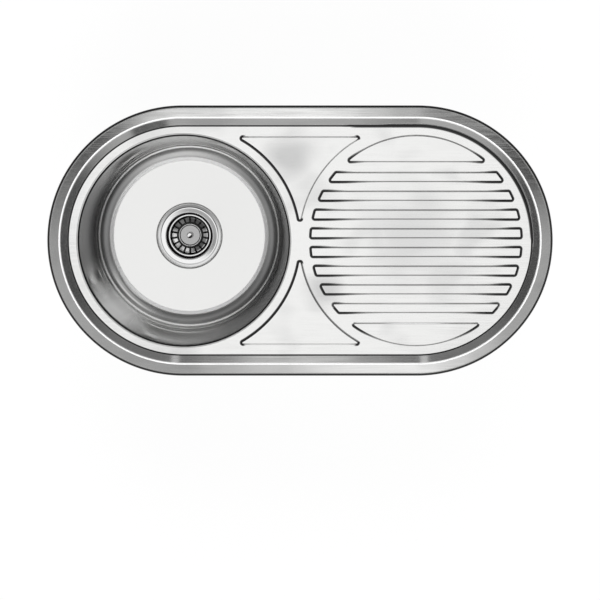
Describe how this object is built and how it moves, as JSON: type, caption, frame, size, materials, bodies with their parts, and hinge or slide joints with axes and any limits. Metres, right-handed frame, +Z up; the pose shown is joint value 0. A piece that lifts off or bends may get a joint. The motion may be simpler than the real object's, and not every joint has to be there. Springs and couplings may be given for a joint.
{
  "type": "drop-in kitchen sink",
  "caption": "Inset stainless sink with a round bowl, a round ribbed drainer, a basket strainer waste and fixing clips under its rim.",
  "frame": {"origin": "middle of the sink's outline, on the plane of the rim's underside, where it rests on the worktop", "axes": "+X from the bowl to the drainer, +Y to the back, +Z up out of the worktop"},
  "size_m": [0.84, 0.45, 0.2608],
  "materials": {
    "stainless_sheet": "satin-brushed stainless sheet",
    "polished_steel": "mirror-polished stainless",
    "zinc_steel": "bright zinc-plated steel",
    "black_rubber": "matt moulded rubber",
    "grey_foam": "closed-cell foam strip",
    "deadening_pad": "matt bitumen sheet",
    "body_plastic": "moulded polypropylene",
    "bush_plastic": "moulded acetal",
    "brass": "turned brass"
  },
  "bodies": {
    "sink": {"top_deck": "stainless_sheet", "bowl": "stainless_sheet", "rim_seal": "grey_foam", "drainer_pad": "deadening_pad", "bowl_pad": "deadening_pad", "clip_brackets": "zinc_steel", "strainer_dish": "polished_steel", "flange_seal": "black_rubber", "body_seal": "black_rubber", "waste_body": "body_plastic", "screw_insert": "brass", "centre_screw": "polished_steel"},
    "basket": {"basket": "polished_steel", "basket_cap": "polished_steel", "post_bush": "bush_plastic"},
    "plunger": {"knob": "polished_steel", "post": "polished_steel", "stopper": "black_rubber", "stopper_nut": "polished_steel"},
    "clip_screw_1": {"clip_screw_1": "zinc_steel"},
    "clip_claw_1": {"clip_claw_1": "zinc_steel"},
    "clip_screw_2": {"clip_screw_2": "zinc_steel"},
    "clip_claw_2": {"clip_claw_2": "zinc_steel"},
    "clip_screw_3": {"clip_screw_3": "zinc_steel"},
    "clip_claw_3": {"clip_claw_3": "zinc_steel"},
    "clip_screw_4": {"clip_screw_4": "zinc_steel"},
    "clip_claw_4": {"clip_claw_4": "zinc_steel"},
    "clip_screw_5": {"clip_screw_5": "zinc_steel"},
    "clip_claw_5": {"clip_claw_5": "zinc_steel"},
    "clip_screw_6": {"clip_screw_6": "zinc_steel"},
    "clip_claw_6": {"clip_claw_6": "zinc_steel"},
    "clip_screw_7": {"clip_screw_7": "zinc_steel"},
    "clip_claw_7": {"clip_claw_7": "zinc_steel"},
    "clip_screw_8": {"clip_screw_8": "zinc_steel"},
    "clip_claw_8": {"clip_claw_8": "zinc_steel"}
  },
  "joints": [
    {"name": "basket_lift", "type": "slide", "parent": "sink", "child": "basket", "axis": [0, 0, 1], "range_m": [0, 0.225]},
    {"name": "plunger_slide", "type": "slide", "parent": "basket", "child": "plunger", "axis": [0, 0, 1], "range_m": [-0.0073, 0]},
    {"name": "clip_1_rise", "type": "slide", "parent": "sink", "child": "clip_screw_1", "axis": [0, 0, 1], "range_m": [0, 0.015]},
    {"name": "clip_1_swing", "type": "hinge", "parent": "clip_screw_1", "child": "clip_claw_1", "pos_m": [0.125, 0.199, -0.053], "axis": [0, 0, -1], "range_deg": [0, 90]},
    {"name": "clip_2_rise", "type": "slide", "parent": "sink", "child": "clip_screw_2", "axis": [0, 0, 1], "range_m": [0, 0.015]},
    {"name": "clip_2_swing", "type": "hinge", "parent": "clip_screw_2", "child": "clip_claw_2", "pos_m": [-0.125, 0.199, -0.053], "axis": [0, 0, -1], "range_deg": [0, 90]},
    {"name": "clip_3_rise", "type": "slide", "parent": "sink", "child": "clip_screw_3", "axis": [0, 0, 1], "range_m": [0, 0.015]},
    {"name": "clip_3_swing", "type": "hinge", "parent": "clip_screw_3", "child": "clip_claw_3", "pos_m": [0.35181, 0.12252, -0.053], "axis": [0, 0, -1], "range_deg": [0, 90]},
    {"name": "clip_4_rise", "type": "slide", "parent": "sink", "child": "clip_screw_4", "axis": [0, 0, 1], "range_m": [0, 0.015]},
    {"name": "clip_4_swing", "type": "hinge", "parent": "clip_screw_4", "child": "clip_claw_4", "pos_m": [-0.35181, 0.12252, -0.053], "axis": [0, 0, -1], "range_deg": [0, 90]},
    {"name": "clip_5_rise", "type": "slide", "parent": "sink", "child": "clip_screw_5", "axis": [0, 0, 1], "range_m": [0, 0.015]},
    {"name": "clip_5_swing", "type": "hinge", "parent": "clip_screw_5", "child": "clip_claw_5", "pos_m": [0.125, -0.199, -0.053], "axis": [0, 0, -1], "range_deg": [0, 90]},
    {"name": "clip_6_rise", "type": "slide", "parent": "sink", "child": "clip_screw_6", "axis": [0, 0, 1], "range_m": [0, 0.015]},
    {"name": "clip_6_swing", "type": "hinge", "parent": "clip_screw_6", "child": "clip_claw_6", "pos_m": [-0.125, -0.199, -0.053], "axis": [0, 0, -1], "range_deg": [0, 90]},
    {"name": "clip_7_rise", "type": "slide", "parent": "sink", "child": "clip_screw_7", "axis": [0, 0, 1], "range_m": [0, 0.015]},
    {"name": "clip_7_swing", "type": "hinge", "parent": "clip_screw_7", "child": "clip_claw_7", "pos_m": [0.35181, -0.12252, -0.053], "axis": [0, 0, -1], "range_deg": [0, 90]},
    {"name": "clip_8_rise", "type": "slide", "parent": "sink", "child": "clip_screw_8", "axis": [0, 0, 1], "range_m": [0, 0.015]},
    {"name": "clip_8_swing", "type": "hinge", "parent": "clip_screw_8", "child": "clip_claw_8", "pos_m": [-0.35181, -0.12252, -0.053], "axis": [0, 0, -1], "range_deg": [0, 90]}
  ]
}
